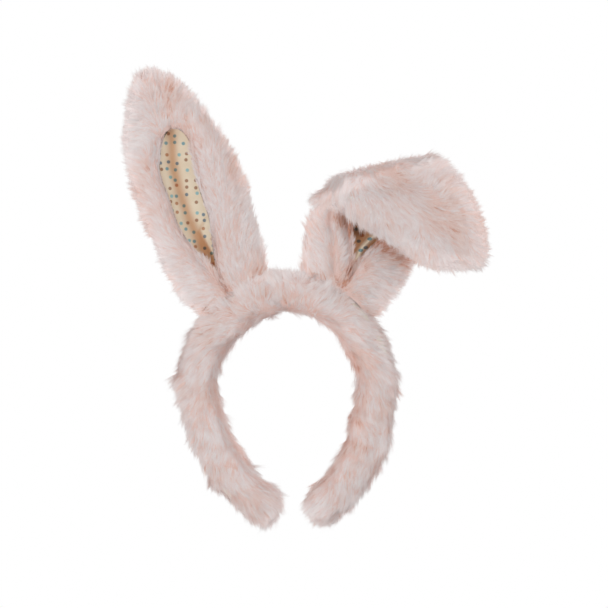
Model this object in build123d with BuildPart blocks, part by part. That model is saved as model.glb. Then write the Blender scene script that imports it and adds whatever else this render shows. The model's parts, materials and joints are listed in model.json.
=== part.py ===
from build123d import *
import math
import os

# Animal ears headband: a fur-covered alice band with two bendable, lined rabbit ears.
# Millimetres. +Z is up as worn, -Y is the front, and the origin is the centre of the head circle.
# "Right" is the +X side. The left pieces are mirror images, except that the right ear is folded over.

# ---- driving dimensions: the band ----
HEAD_RADIUS = 51.0  # inner wall of the furry sleeve, which sits on the head
SLEEVE_THICK = 31.0  # radially
SLEEVE_WIDE = 34.0  # front to back
SLEEVE_CORNER = 12.0
FUR_WALL = 5.7  # skin and pile, pressed together
LAYER_GAP = 0.2  # between nested layers
PADDING_CORNER = 6.0
CORE_THICK = 2.2
CORE_WIDE = 13.0
CORE_CORNER = 1.0
CORE_SETBACK = 4.0  # the core lies this far inside the middle of the padding, towards the head
CORE_SHORT = 1.0  # degrees by which the core's end stays short of the leg's arc
CORE_ROOM_SHORT = 0.8  # the same for its hole in the padding

MID_RADIUS = HEAD_RADIUS + SLEEVE_THICK / 2
CORE_RADIUS = MID_RADIUS - CORE_SETBACK
LEG_BEND_RADIUS = 122.3  # each leg closes in along a slacker arc
LEG_SWEEP = 47.0  # degrees of that arc
LEG_CENTRE = MID_RADIUS - LEG_BEND_RADIUS  # x of the arc's centre, for the right leg
OUTER_RADIUS = HEAD_RADIUS + SLEEVE_THICK

# ---- driving dimensions: the flex of the legs ----
FLEX_ANGLE = 72.0  # degrees from the top of the band
KNUCKLE_RADIUS = 20.5
KNUCKLE_CLEARANCE = 0.4
TUBE_OVERRUN = 22.0  # degrees of band beyond the flex plane that the knuckle is cut from
KNUCKLE_REACH = 17.0  # degrees that the knuckle takes of the inner back corner, each side of the flex plane

# ---- driving dimensions: stitches ----
THREAD = 1.0
SEAM_GROOVE = 1.6  # radius of the groove that the seam lies in
STITCH = 5.0
SEAM_PITCH = 8.5
SEAM_MARGIN = 6.0  # degrees between the last stitch and the knuckle's edge
SEAM_TURN = 86.0  # the leg's first row of stitches ends at this angle, where its slacker arc starts
TIP_RECESS = 3.4
TIP_LOOP = 2.2
TACK_Y = 7.0  # the ears are tacked down along both faces
TACK_SPAN = 15.0  # degrees each side of the ear's middle

TACK_RADIUS = OUTER_RADIUS + THREAD / 2 + 0.1

# ---- driving dimensions: the ears ----
EAR_HEIGHT_WIDEST = 78.0  # above the foot
EAR_HALF_WIDTH = 39.5
EAR_LOWER_RADIUS = 380.0  # arc of the side below the widest place
EAR_UPPER_RADIUS = 168.0  # arc of the side above it
EAR_TIP_RADIUS = 11.0
EAR_ROOT = -15.0  # the outline is drawn down to here and trimmed by the foot
EAR_HALF_THICK = 10.0
EAR_FOOT_X = 41.5  # the foot's middle, on the right
EAR_FOOT_Z = 67.8
EAR_TILT = 18.8  # degrees, leaning outwards
POCKET_INSET = 5.0
POCKET_HALF = 2.6
FRONT_FILLET = 6.5
BACK_FILLET = 8.5

LINING_THICK = 0.8
WADDING_INSET = 8.8
WADDING_BACK = -2.4
WADDING_FRONT = 1.2
WIRE = 1.6
WIRE_INSET = 6.5
WIRE_END = 10.0  # the loop's ends stop this far above the foot

SLIT_BOTTOM = 16.0
SLIT_TOP = 128.0
SLIT_OUTER = 16.0  # the slit bulges more towards the outer side of the ear
SLIT_INNER = 6.5
SLIT_MIDDLE = 76.0
SLIT_SHIFT = 2.0  # its top leans the other way
EDGING = 1.2
EDGING_BOTTOM = 3.0

FOLD_HEIGHT = 80.0  # where the fold crosses the ear's middle line
FOLD_SLANT = 36.0  # degrees from straight across
FOLD_CLEARANCE = 0.35
FOLD_REST = 168.0  # how far the right ear is folded over
SWAY_ANGLE = 31.85  # degrees from the top of the band to the middle of the ear's foot
FOOT_CLEARANCE = 0.8
FOOT_RADIUS = EAR_HALF_THICK + 0.4  # rounding of the foot about the sway axis
FOOT_SPREAD = 34.0  # degrees each side of the foot's middle, well past the ear
FAR = 300.0  # larger than the object

os.makedirs("parts", exist_ok=True)


def polar(radius, angle):
    """A point of the front plane, at an angle in degrees from the top of the band towards +X."""
    return Vector(radius * math.sin(math.radians(angle)), 0, radius * math.cos(math.radians(angle)))


Y_AXIS = Axis((0, 0, 0), (0, 1, 0))
LEG_AXIS = Axis((LEG_CENTRE, 0, 0), (0, 1, 0))
FLEX_PIVOT = polar(CORE_RADIUS, FLEX_ANGLE)
RADIAL_AT_FLEX = polar(1, FLEX_ANGLE)
TANGENT_AT_FLEX = Vector(RADIAL_AT_FLEX.Z, 0, -RADIAL_AT_FLEX.X)
FLEX_PLANE = Plane(origin=FLEX_PIVOT, x_dir=(0, 1, 0), z_dir=TANGENT_AT_FLEX)
BAND_FRONT = Plane(origin=(0, 0, 0), x_dir=(1, 0, 0), z_dir=(0, -1, 0))  # +X right, +Z up, faces the front


def keep(solid, name):
    """Label a finished piece and write it."""
    solid.label = name
    export_step(solid, f"parts/{name}.step")


def both_sides(solid, name):
    """Write a right-hand piece and its mirror image."""
    keep(solid, f"right_{name}")
    keep(mirror(solid, about=Plane.YZ), f"left_{name}")


# ---------------------------------------------------------------- band layers
def band_section(plane, thick, wide, corner, setback=0.0):
    """The section of one layer, on a plane whose x points away from the head."""
    with BuildSketch(plane) as section:
        with Locations((-setback, 0)):
            RectangleRounded(thick, wide, corner)
    return section.sketch


def add_crown(thick, wide, corner, setback=0.0, mode=Mode.ADD):
    """Revolve a layer's section over the crown, from flex to flex."""
    radial = polar(1, FLEX_ANGLE)
    plane = Plane(origin=radial * MID_RADIUS, x_dir=radial, z_dir=TANGENT_AT_FLEX)
    section = band_section(plane, thick, wide, corner, setback)
    revolve(section, axis=Y_AXIS, revolution_arc=-2 * FLEX_ANGLE, mode=mode)


def add_leg(thick, wide, corner, setback=0.0, sweep_angle=LEG_SWEEP, domed=True, mode=Mode.ADD):
    """Revolve a layer's section down the right leg, from inside the knuckle to the tip."""
    start = FLEX_ANGLE - TUBE_OVERRUN
    section = band_section(Plane(origin=(MID_RADIUS, 0, 0), z_dir=(0, 0, 1)), thick, wide, corner, setback)
    revolve(section, axis=Y_AXIS, revolution_arc=-(90 - start), mode=mode)
    revolve(section, axis=LEG_AXIS, revolution_arc=sweep_angle, mode=mode)
    if domed:
        end = LEG_BEND_RADIUS - setback
        outward = Vector(math.cos(math.radians(sweep_angle)), 0, -math.sin(math.radians(sweep_angle)))
        tip = Vector(LEG_CENTRE, 0, 0) + outward * end
        forward = Vector(outward.Z, 0, -outward.X)
        with BuildSketch(Plane(origin=tip, x_dir=outward, z_dir=forward)) as half:
            RectangleRounded(thick, wide, corner)
            with Locations((-thick / 2, 0)):
                Rectangle(thick, 2 * wide, mode=Mode.SUBTRACT)
        revolve(half.sketch, axis=Axis(tip, (0, 1, 0)), revolution_arc=360, mode=mode)


with BuildPart() as sockets:
    for side in (1, -1):
        with Locations(Location((side * FLEX_PIVOT.X, 0, FLEX_PIVOT.Z), (90, 0, 0))):
            Cylinder(KNUCKLE_RADIUS + KNUCKLE_CLEARANCE, 2 * SLEEVE_WIDE)

with BuildPart() as knuckle_trim:  # what the right leg gives up: everything above the flex but its knuckle
    with BuildSketch(FLEX_PLANE):
        Rectangle(2 * SLEEVE_WIDE, 4 * SLEEVE_WIDE)
    extrude(amount=-2 * SLEEVE_WIDE)
    with Locations(Location(FLEX_PIVOT, (90, 0, 0))):
        Cylinder(KNUCKLE_RADIUS, 3 * SLEEVE_WIDE, mode=Mode.SUBTRACT)

SLEEVE = (SLEEVE_THICK, SLEEVE_WIDE, SLEEVE_CORNER)
CAVITY = (SLEEVE_THICK - 2 * FUR_WALL, SLEEVE_WIDE - 2 * FUR_WALL, PADDING_CORNER)
PADDING = tuple(size - 2 * LAYER_GAP for size in CAVITY)
CORE_ROOM = (CORE_THICK + 2 * LAYER_GAP, CORE_WIDE + 2 * LAYER_GAP, CORE_CORNER)
CORE = (CORE_THICK, CORE_WIDE, CORE_CORNER)
CORE_SWEEP = LEG_SWEEP - CORE_SHORT
CORE_ROOM_SWEEP = LEG_SWEEP - CORE_ROOM_SHORT

# the sleeve's seam runs along its inner back corner
SEAM_OUT = SLEEVE_CORNER * (1 - math.sqrt(0.5))
SEAM_RADIUS = HEAD_RADIUS + SEAM_OUT
SEAM_Y = SLEEVE_WIDE / 2 - SEAM_OUT


def seam_section(radius):
    with BuildSketch(Plane(origin=(SEAM_RADIUS, 0, 0), z_dir=(0, 0, 1))) as section:
        with Locations((0, SEAM_Y)):
            Circle(radius)
    return section.sketch


def leg_point(radius, angle):
    """A point of the right leg, at a radius from the leg's centre and an angle below it."""
    a = math.radians(angle)
    return Vector(LEG_CENTRE + radius * math.cos(a), 0, -radius * math.sin(a))


with BuildPart() as sleeve_crown:
    add_crown(*SLEEVE)
    add_crown(*CAVITY, mode=Mode.SUBTRACT)
    add(sockets.part, mode=Mode.SUBTRACT)
    revolve(seam_section(SEAM_GROOVE), axis=Y_AXIS, revolution_arc=360, mode=Mode.SUBTRACT)
keep(sleeve_crown.part, "sleeve_crown")

with BuildPart() as padding_crown:
    add_crown(*PADDING)
    add_crown(*CORE_ROOM, setback=CORE_SETBACK, mode=Mode.SUBTRACT)
    add(sockets.part, mode=Mode.SUBTRACT)
keep(padding_crown.part, "padding_crown")

with BuildPart() as core_crown:
    add_crown(*CORE, setback=CORE_SETBACK)
    add(sockets.part, mode=Mode.SUBTRACT)
keep(core_crown.part, "core_crown")

TIP_DIRECTION = Vector(-math.sin(math.radians(LEG_SWEEP)), 0, -math.cos(math.radians(LEG_SWEEP)))
TIP_END = leg_point(LEG_BEND_RADIUS, LEG_SWEEP) + TIP_DIRECTION * (SLEEVE_THICK / 2)
TIP_PLANE = Plane(origin=TIP_END, x_dir=(0, 1, 0), z_dir=TIP_DIRECTION)

with BuildPart() as sleeve_leg:
    add_leg(*SLEEVE)
    add_leg(*CAVITY, mode=Mode.SUBTRACT)
    add(knuckle_trim.part, mode=Mode.SUBTRACT)
    revolve(seam_section(SEAM_GROOVE), axis=Y_AXIS, revolution_arc=-90, mode=Mode.SUBTRACT)
    revolve(seam_section(SEAM_GROOVE), axis=LEG_AXIS, revolution_arc=LEG_SWEEP, mode=Mode.SUBTRACT)
    with BuildSketch(TIP_PLANE):
        Circle(TIP_RECESS)
    extrude(amount=-TIP_RECESS / 2, mode=Mode.SUBTRACT)
both_sides(sleeve_leg.part, "leg_sleeve")

with BuildPart() as padding_leg:
    add_leg(*PADDING)
    add_leg(*CORE_ROOM, CORE_SETBACK, CORE_ROOM_SWEEP, False, mode=Mode.SUBTRACT)
    add(knuckle_trim.part, mode=Mode.SUBTRACT)
both_sides(padding_leg.part, "leg_padding")

with BuildPart() as core_leg:
    add_leg(*CORE, CORE_SETBACK, CORE_SWEEP, False)
    add(knuckle_trim.part, mode=Mode.SUBTRACT)
both_sides(core_leg.part, "leg_core")


# ---------------------------------------------------------------- stitches of the band
def stitch():
    """One stitch: a short thread along its own Z, with chamfered ends."""
    with BuildPart(mode=Mode.PRIVATE) as thread:
        Cylinder(THREAD / 2, STITCH)
        chamfer(thread.edges().filter_by(GeomType.CIRCLE), THREAD / 4)
    return thread.part


def tangent_location(point, tangent, y):
    """A place in the front plane, moved to y, whose Z follows the tangent."""
    return Plane(origin=(point.X, y, point.Z), x_dir=(0, 1, 0), z_dir=tangent).location


def arc_tangent(angle):
    return Vector(math.cos(math.radians(angle)), 0, -math.sin(math.radians(angle)))


def add_arc_stitches(first, last, radius, y):
    """Stitches end to end along an arc about the head's centre, from one angle to another."""
    count = round((last - first) / math.degrees(SEAM_PITCH / radius))
    for i in range(count + 1):
        angle = first + (last - first) * i / count
        place = tangent_location(polar(radius, angle), arc_tangent(angle), y)
        add(stitch().moved(place))


with BuildPart() as seam_crown:
    end = FLEX_ANGLE - KNUCKLE_REACH - SEAM_MARGIN
    add_arc_stitches(-end, end, SEAM_RADIUS, SEAM_Y)
keep(seam_crown.part, "seam_stitches_crown")

leg_seam_radius = SEAM_RADIUS - LEG_CENTRE
leg_step = math.degrees(SEAM_PITCH / leg_seam_radius)
with BuildPart() as seam_leg:
    add_arc_stitches(FLEX_ANGLE - KNUCKLE_REACH + SEAM_MARGIN, SEAM_TURN, SEAM_RADIUS, SEAM_Y)
    for i in range(int(LEG_SWEEP / leg_step)):
        angle = (i + 0.5) * leg_step
        tangent = Vector(-math.sin(math.radians(angle)), 0, -math.cos(math.radians(angle)))
        place = tangent_location(leg_point(leg_seam_radius, angle), tangent, SEAM_Y)
        add(stitch().moved(place))
both_sides(seam_leg.part, "leg_seam_stitches")

with BuildPart() as tip_gather:
    with Locations(TIP_PLANE.offset(-TIP_RECESS / 4).location):
        Torus(TIP_LOOP, THREAD / 2)
both_sides(tip_gather.part, "tip_gather_stitch")


# ---------------------------------------------------------------- ears
def ear_plane(side):
    """Ear's own plane: x across the ear, y from foot to tip, z towards the front."""
    tilt = math.radians(EAR_TILT) * side
    return Plane(
        origin=(side * EAR_FOOT_X, 0, EAR_FOOT_Z),
        x_dir=(math.cos(tilt), 0, -math.sin(tilt)),
        z_dir=(0, -1, 0),
    )


def fold_axis(side):
    """The fold runs slantwise across the ear, just in front of its front face."""
    plane = ear_plane(side)
    slant = math.radians(FOLD_SLANT)
    origin = plane.from_local_coords(Vector(0, FOLD_HEIGHT, EAR_HALF_THICK + 0.5))
    direction = plane.from_local_coords(Vector(math.cos(slant), side * math.sin(slant), 0)) - plane.origin
    return Axis(origin, direction)


def fold_plane(side):
    """Stands across the ear along the fold; its normal points to the ear's tip."""
    plane = ear_plane(side)
    slant = math.radians(FOLD_SLANT)
    origin = plane.from_local_coords(Vector(0, FOLD_HEIGHT, 0))
    normal = plane.from_local_coords(Vector(-side * math.sin(slant), math.cos(slant), 0)) - plane.origin
    return Plane(origin=origin, x_dir=(0, 1, 0), z_dir=normal)


def ear_outline(plane, inset=0.0):
    """Leaf-shaped outline made of tangent arcs, symmetric about the ear's middle line."""
    lower_centre = EAR_HALF_WIDTH - EAR_LOWER_RADIUS
    upper_centre = EAR_HALF_WIDTH - EAR_UPPER_RADIUS
    lower_angle = math.degrees(math.asin((EAR_HEIGHT_WIDEST - EAR_ROOT) / EAR_LOWER_RADIUS))
    tip_reach = EAR_UPPER_RADIUS - EAR_TIP_RADIUS
    upper_angle = math.degrees(math.acos(-upper_centre / tip_reach))
    tip_centre = EAR_HEIGHT_WIDEST + tip_reach * math.sin(math.radians(upper_angle))
    with BuildSketch(plane) as outline:
        with BuildLine():
            CenterArc((lower_centre, EAR_HEIGHT_WIDEST), EAR_LOWER_RADIUS, -lower_angle, lower_angle)
            CenterArc((upper_centre, EAR_HEIGHT_WIDEST), EAR_UPPER_RADIUS, 0, upper_angle)
            CenterArc((0, tip_centre), EAR_TIP_RADIUS, upper_angle, 90 - upper_angle)
            mirror(about=Plane.YZ)
            half_root = lower_centre + EAR_LOWER_RADIUS * math.cos(math.radians(lower_angle))
            Line((-half_root, EAR_ROOT), (half_root, EAR_ROOT))
        make_face()
        if inset:
            offset(amount=-inset, kind=Kind.INTERSECTION, mode=Mode.REPLACE)
    return outline.sketch


def slit_outline(plane, side, inset=0.0):
    """The long slit in the front panel: two arcs that meet at points."""
    bottom = (0, SLIT_BOTTOM)
    top = (-side * SLIT_SHIFT, SLIT_TOP)
    with BuildSketch(plane) as slit:
        with BuildLine():
            ThreePointArc(bottom, (side * SLIT_OUTER, SLIT_MIDDLE), top)
            ThreePointArc(bottom, (-side * SLIT_INNER, SLIT_MIDDLE), top)
        make_face()
        if inset:
            offset(amount=-inset, mode=Mode.REPLACE)
    return slit.sketch


def foot_trim(side):
    """Cuts the ear's foot to a round bottom that can rock on the sleeve without touching it."""
    middle = side * SWAY_ANGLE
    top = OUTER_RADIUS + FOOT_CLEARANCE
    pivot_radius = top + FOOT_RADIUS
    axis_plane = Plane(origin=polar(pivot_radius, middle), x_dir=(0, 1, 0), z_dir=polar(1, middle))
    reach = pivot_radius / math.cos(math.radians(FOOT_SPREAD))
    corners = [polar(top, middle - FOOT_SPREAD), polar(reach, middle - FOOT_SPREAD)]
    corners += [polar(reach, middle + FOOT_SPREAD), polar(top, middle + FOOT_SPREAD)]
    with BuildPart() as trim:
        with BuildSketch(axis_plane):
            Rectangle(8 * EAR_HALF_THICK, FAR)
        extrude(amount=-FAR / 4)
        with BuildSketch(BAND_FRONT):
            with BuildLine():
                left, left_axis, right_axis, right = [(p.X, p.Z) for p in corners]
                peak = polar(top, middle)
                Polyline(left, left_axis, right_axis, right)
                ThreePointArc(left, (peak.X, peak.Z), right)
            make_face()
        axis = Axis(polar(pivot_radius, middle), arc_tangent(middle))
        revolve(axis=axis, revolution_arc=360, mode=Mode.SUBTRACT)
    return trim.part


def halves(solid, side, name):
    """Split an ear's layer at the fold, trim its foot, and fold the right ear's upper part over."""
    plane = fold_plane(side)
    with BuildPart() as lower:
        add(solid)
        split(bisect_by=plane.offset(-FOLD_CLEARANCE), keep=Keep.BOTTOM)
        add(foot_trim(side), mode=Mode.SUBTRACT)
    with BuildPart() as upper:
        add(solid)
        split(bisect_by=plane.offset(FOLD_CLEARANCE), keep=Keep.TOP)
    tip = upper.solid()
    if side > 0:
        tip = tip.rotate(fold_axis(side), FOLD_REST)
    prefix = "right" if side > 0 else "left"
    keep(lower.part, f"{prefix}_ear_{name}_lower")
    keep(tip, f"{prefix}_ear_{name}_upper")


for side in (-1, 1):
    plane = ear_plane(side)

    with BuildPart() as front_panel:
        extrude(ear_outline(plane.offset(POCKET_HALF)), amount=EAR_HALF_THICK - POCKET_HALF)
        rim = front_panel.faces().sort_by(Axis.Y)[0].edges()
        fillet(rim, FRONT_FILLET)
        extrude(slit_outline(plane, side), amount=2 * EAR_HALF_THICK, mode=Mode.SUBTRACT)
    halves(front_panel.part, side, "front_panel")

    with BuildPart() as back_panel:
        extrude(ear_outline(plane.offset(-EAR_HALF_THICK)), amount=EAR_HALF_THICK + POCKET_HALF - LAYER_GAP)
        rim = back_panel.faces().sort_by(Axis.Y)[-1].edges()
        fillet(rim, BACK_FILLET)
        extrude(ear_outline(plane.offset(-POCKET_HALF), POCKET_INSET), amount=FAR, mode=Mode.SUBTRACT)
    halves(back_panel.part, side, "back_panel")

    with BuildPart() as lining:
        lining_plane = plane.offset(POCKET_HALF - LAYER_GAP - LINING_THICK)
        extrude(ear_outline(lining_plane, POCKET_INSET + LAYER_GAP), amount=LINING_THICK)
    halves(lining.part, side, "lining")

    with BuildPart() as wadding:
        extrude(ear_outline(plane.offset(WADDING_BACK), WADDING_INSET), amount=WADDING_FRONT - WADDING_BACK)
    halves(wadding.part, side, "wadding")

    with BuildPart() as edging:
        extrude(slit_outline(plane.offset(EDGING_BOTTOM), side, LAYER_GAP), amount=EDGING)
        extrude(slit_outline(plane, side, LAYER_GAP + EDGING), amount=EAR_HALF_THICK, mode=Mode.SUBTRACT)
    halves(edging.part, side, "slit_edging")

    with BuildPart() as wire:
        with BuildLine() as loop:
            add(ear_outline(plane, WIRE_INSET).edges().filter_by(GeomType.CIRCLE))
        path = loop.wire()
        with BuildSketch(Plane(origin=path @ 0, z_dir=path % 0)):
            Circle(WIRE / 2)
        sweep(path=path)
        ends = plane.from_local_coords(Vector(0, WIRE_END, 0))
        with BuildSketch(Plane(origin=ends, x_dir=(0, 1, 0), z_dir=plane.y_dir)):
            Rectangle(FAR, FAR)
        extrude(amount=-FAR / 4, mode=Mode.SUBTRACT)
    halves(wire.part, side, "wire")

    prefix = "right" if side > 0 else "left"
    middle = side * SWAY_ANGLE
    with BuildPart() as tacks:
        for y in (-TACK_Y, TACK_Y):
            add_arc_stitches(middle - TACK_SPAN, middle + TACK_SPAN, TACK_RADIUS, y)
    keep(tacks.part, f"{prefix}_ear_tack_stitches")

for side in (-1, 1):
    axis = fold_axis(side)
    sway = polar(OUTER_RADIUS + FOOT_CLEARANCE + FOOT_RADIUS, side * SWAY_ANGLE)
    print("fold axis", side, axis.position, axis.direction)
    print("sway axis", side, sway, arc_tangent(side * SWAY_ANGLE))
print("flex pivot", FLEX_PIVOT)
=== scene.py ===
"""Animal ears headband: fur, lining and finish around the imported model, with its studio and camera."""
import json
import math

import bpy
import numpy as np
from mathutils import Matrix, Vector
from mathutils.kdtree import KDTree


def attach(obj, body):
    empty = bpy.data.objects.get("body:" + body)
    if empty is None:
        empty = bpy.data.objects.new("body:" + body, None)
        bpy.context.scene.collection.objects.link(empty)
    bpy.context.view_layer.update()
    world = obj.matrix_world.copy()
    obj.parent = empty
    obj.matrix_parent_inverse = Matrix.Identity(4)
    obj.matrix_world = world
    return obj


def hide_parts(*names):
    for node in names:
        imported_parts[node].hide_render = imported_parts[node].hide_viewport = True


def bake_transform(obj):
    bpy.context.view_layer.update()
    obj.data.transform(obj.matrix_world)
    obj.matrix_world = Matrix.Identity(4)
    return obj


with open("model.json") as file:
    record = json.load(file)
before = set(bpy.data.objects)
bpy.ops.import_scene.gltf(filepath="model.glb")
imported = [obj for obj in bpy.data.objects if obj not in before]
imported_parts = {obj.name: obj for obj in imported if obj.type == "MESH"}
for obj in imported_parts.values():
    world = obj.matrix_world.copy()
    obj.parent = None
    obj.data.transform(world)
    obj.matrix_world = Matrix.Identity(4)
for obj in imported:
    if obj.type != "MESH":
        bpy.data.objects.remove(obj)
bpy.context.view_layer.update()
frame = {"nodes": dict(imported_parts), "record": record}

# ------------------------ driving sizes, in metres and degrees
HEAD_RADIUS = frame["record"]["mounts"][0]["dims"]["r_mm"] / 1000
BAND_HALF_THICK = 0.0155  # of the CAD sleeve, across the band
BAND_MID_RADIUS = HEAD_RADIUS + BAND_HALF_THICK
LEG_RADIUS = 0.1223
LEG_SWEEP = math.radians(47)
QUARTER_BAND = BAND_MID_RADIUS * math.pi / 2  # from the top to where a leg starts
HALF_BAND = QUARTER_BAND + LEG_RADIUS * LEG_SWEEP
SKIN_RADIAL = 0.0138  # half-axes of the body that the pile lies on
SKIN_DEEP = 0.0146
SKIN_SQUARE = 0.86  # 1 makes its section an ellipse, and less makes it squarer

EAR_FOOT = (0.0415, 0.0678)
EAR_TILT = math.radians(18.8)
EAR_WIDEST = 0.078
EAR_HALF_WIDTH = 0.0395
EAR_LOWER_ARC = 0.380
EAR_UPPER_ARC = 0.168
EAR_TIP_ARC = 0.011
EAR_PUFF = 0.0084  # half the thickness of the stuffed cloth
PUFF_FULL = 0.026  # where half the ear's width is less than this, it gets thinner
RIM_POWER = 2.6  # how squarely an ear's section ends at its rim; 2 is an ellipse
EDGE_INSET = 0.0022  # the cloth's edge lies this far inside the furry outline
FOOT_RADIUS = 0.0765  # the ears' cloth starts this far from the head's centre
FOOT_HALF_WIDTH = 0.030
FOLD_HEIGHT = 0.080
FOLD_SLANT = math.radians(36)
FOLD_TURN = math.radians(168)
FOLD_FRONT = 0.0105  # the fold's axis lies this far in front of the ear's middle
FOLD_CLEAR = 0.004  # stuffing and wire end this far from the fold
SLIT_LOW, SLIT_HIGH = 0.002, 0.128
SLIT_HALF = 0.0126  # half its width, before it widens a little towards the top
SLIT_ROUNDS = 0.088  # its rounded top starts at this height
LIP_TURN, LIP_DEPTH = 0.0018, 0.0035  # along the slit the cloth turns under this far, and this deep
LINING_SEAM = 0.0035  # the lining reaches this far past the slit on each side
LINING_LOW, LINING_HIGH = 0.001, SLIT_HIGH + 0.006
BINDING_LOW, BINDING_HIGH = 0.026, SLIT_HIGH - 0.001
BINDING_INSET, BINDING_FRONT = 0.0006, 0.0030  # inside the slit's edge, and in front of the ear's middle
LINING_AT_FOLD, BINDING_AT_FOLD = 0.013, 0.011  # half their widths where the fold crosses them
WIRE_LOW, WIRE_HIGH = 0.016, 0.1720
WIRE_INSET = 0.0075  # from the ear's furry outline
STUFFING_INSET = 0.009
PILE = 0.0115

rng = np.random.default_rng(20)


# ------------------------ small helpers
def unit(v):
    return v / np.maximum(np.linalg.norm(v, axis=-1, keepdims=True), 1e-12)


def smooth(t, low=0.0, high=1.0):
    t = np.clip((t - low) / (high - low), 0, 1)
    return t * t * (3 - 2 * t)


def waves(points, size, seed, dims=3):
    """Smooth wandering values of about unit strength, with features of the given size."""
    draw = np.random.default_rng(seed)
    out = np.zeros(points.shape[:-1] + (dims,))
    for _ in range(7):
        k = unit(draw.normal(size=(dims, 3))) * 2 * math.pi / size * draw.uniform(0.6, 1.5, (dims, 1))
        out += np.sin(points @ k.T + draw.uniform(0, 2 * math.pi, dims))
    return out / 1.9  # the strength of seven such waves together


def wave(points, size, seed):
    """One smooth wandering value for each point."""
    return waves(points, size, seed, 1)[..., 0]


def bump(t, size):
    """1 where t is 0, fading out to both sides over about the given size."""
    return np.exp(-((t / size) ** 2))


def srgb(r, g, b):
    """Linear colour from screen values of 0 to 255."""
    return tuple((c / 255 / 12.92) if c <= 10 else ((c / 255 + 0.055) / 1.055) ** 2.4 for c in (r, g, b))


def new_object(name, mesh, materials):
    """An object in the scene with its mesh and materials."""
    obj = bpy.data.objects.new(name, mesh)
    bpy.context.scene.collection.objects.link(obj)
    for material in materials:
        mesh.materials.append(material)
    return obj


def faces_mesh(name, points, corners, starts, slots=None):
    """A mesh from flat arrays: corners are vertex numbers, starts the first corner of each face."""
    mesh = bpy.data.meshes.new(name)
    mesh.vertices.add(len(points))
    mesh.vertices.foreach_set("co", points.astype(np.float32).ravel())
    mesh.loops.add(len(corners))
    mesh.loops.foreach_set("vertex_index", corners.astype(np.int32))
    mesh.polygons.add(len(starts))
    mesh.polygons.foreach_set("loop_start", starts.astype(np.int32))
    if slots is not None:
        mesh.polygons.foreach_set("material_index", slots.astype(np.int32))
    mesh.polygons.foreach_set("use_smooth", np.full(len(starts), True))
    mesh.update(calc_edges=True)
    return mesh


def grid_mesh(name, points, closed=False, uv=None):
    """A mesh of quads from rows by columns of points; closed joins the last column to the first."""
    rows, cols = points.shape[:2]
    i, j = np.meshgrid(np.arange(rows - 1), np.arange(cols if closed else cols - 1), indexing="ij")
    k = (j + 1) % cols
    quads = np.stack([i * cols + j, i * cols + k, (i + 1) * cols + k, (i + 1) * cols + j], -1).reshape(-1, 4)
    mesh = faces_mesh(name, points.reshape(-1, 3), quads.ravel(), np.arange(len(quads)) * 4)
    if uv is not None:
        layer = mesh.uv_layers.new(name="cloth")
        layer.data.foreach_set("uv", uv.reshape(-1, 2)[quads.ravel()].astype(np.float32).ravel())
    return mesh


def grid_normals(points, closed=False):
    """Outward normals of rows by columns of points, where rows x columns point outwards."""
    along = np.gradient(points, axis=0)
    if closed:
        around = np.roll(points, -1, 1) - np.roll(points, 1, 1)
    else:
        around = np.gradient(points, axis=1)
    return unit(np.cross(along, around))


# ------------------------ materials
def shader(name, colour, roughness, sheen, sheen_tint=(1, 1, 1)):
    """A Principled material; returns it with its nodes, links and shader."""
    material = bpy.data.materials.new(name)
    material.use_nodes = True
    nodes, links = material.node_tree.nodes, material.node_tree.links
    principled = nodes["Principled BSDF"]
    principled.inputs["Base Color"].default_value = (*colour, 1)
    principled.inputs["Roughness"].default_value = roughness
    principled.inputs["Specular IOR Level"].default_value = 0.25
    principled.inputs["Sheen Weight"].default_value = sheen
    principled.inputs["Sheen Tint"].default_value = (*sheen_tint, 1)
    return material, nodes, links, principled


def node(nodes, kind, **values):
    """A shader node with its inputs or settings set by name."""
    made = nodes.new(kind)
    for key, value in values.items():
        if key in made.inputs:
            made.inputs[key].default_value = value
        else:
            setattr(made, key, value)
    return made


def connect(links, rows):
    """Link an output of one node to an input of another, row by row."""
    for source, output, target, entry in rows:
        links.new(source.outputs[output], target.inputs[entry])


def ramp(nodes, stops, interpolation="LINEAR"):
    """A colour ramp with stops of place and colour."""
    made = nodes.new("ShaderNodeValToRGB")
    made.color_ramp.interpolation = interpolation
    elements = made.color_ramp.elements
    while len(elements) < len(stops):
        elements.new(0.5)
    for element, (position, colour) in zip(elements, stops):
        element.position = position
        element.color = (*colour, 1)
    return made


def mottled(name, dark, light, size, roughness, relief, fine, sheen=0.0):
    """Cloudy colour between two tones with a fine noise relief; size and fine are their sizes in metres."""
    material, nodes, links, principled = shader(name, light, roughness, sheen)
    place = node(nodes, "ShaderNodeTexCoord")
    clouds = node(nodes, "ShaderNodeTexNoise", Scale=1 / size, Detail=4.0)
    tones = ramp(nodes, [(0.35, dark), (0.65, light)])
    grain = node(nodes, "ShaderNodeTexNoise", Scale=1 / fine, Detail=3.0)
    raised = node(nodes, "ShaderNodeBump", Strength=relief, Distance=fine)
    connect(links, [
        (place, "Object", clouds, "Vector"),
        (clouds, "Fac", tones, "Fac"),
        (tones, "Color", principled, "Base Color"),
        (place, "Object", grain, "Vector"),
        (grain, "Fac", raised, "Height"),
        (raised, "Normal", principled, "Normal"),
    ])
    return material


# tone by tone, from the creases' tone to the lightest: the strand near its root, and its outer part. The
# creases' tone is painted shade over the roots' deeper colour, for creases, the ears' feet and under the
# flap's edge
FUR_TONES = [
    (srgb(198, 142, 118), srgb(207, 160, 140)),
    (srgb(222, 197, 188), srgb(224, 204, 197)),
    (srgb(223, 204, 199), srgb(225, 211, 207)),
    (srgb(224, 211, 209), srgb(226, 217, 216)),
    (srgb(224, 214, 213), srgb(228, 222, 221)),
]


def fur_materials():
    """Two materials for each tone, in the order that a strand's material slots count them."""
    made = []
    for number, (root, outer) in enumerate(FUR_TONES):
        for zone, colour in (("root", root), ("outer", outer)):
            material, _, _, _ = shader(f"pile_{number}_{zone}", colour, 0.85, 0.25, (1.0, 0.95, 0.93))
            made.append(material)
    return made


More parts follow.
